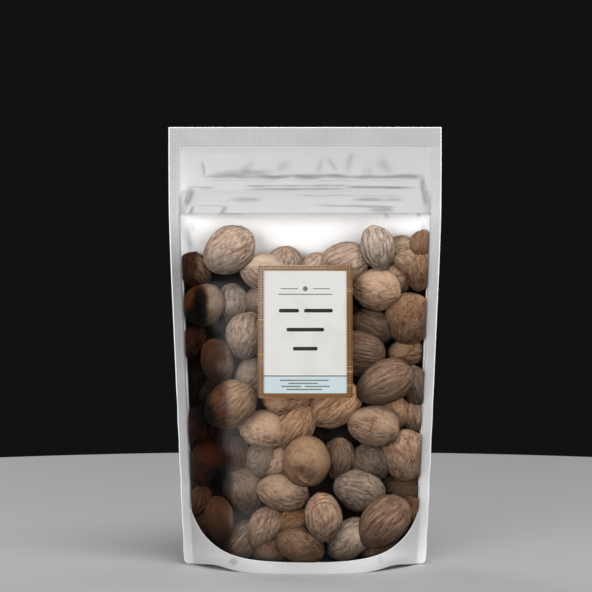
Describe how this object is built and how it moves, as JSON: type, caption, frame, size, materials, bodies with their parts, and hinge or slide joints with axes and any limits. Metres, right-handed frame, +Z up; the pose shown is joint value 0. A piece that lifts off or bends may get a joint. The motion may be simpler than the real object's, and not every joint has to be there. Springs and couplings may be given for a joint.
{
  "type": "stand-up pouch of whole nutmegs",
  "caption": "Stand-up pouch of whole nutmegs: satin film with a clear U-shaped window, knurled side and top welds, a press zip, a bottom gusset and a plain front label",
  "frame": {"origin": "centre of the footprint, on the surface that the pouch stands on", "axes": "+Z up, -Y is the front with the window and the label, +X is to the right seen from the front"},
  "size_m": [0.13, 0.06, 0.208],
  "materials": {
    "pouch_film": "pearly silver-white film, satin, softly creased, knurled on its welds",
    "window_film": "clear glossy film with a soft milky shine",
    "label_paper": "satin paper, cream panel in a woven brown border, pale blue-grey strip",
    "nutmeg": "dry matte kernel, grey-brown, furrowed and finely veined"
  },
  "bodies": {
    "root": {"pouch": "pouch_film", "label": "label_paper"}
  },
  "joints": []
}
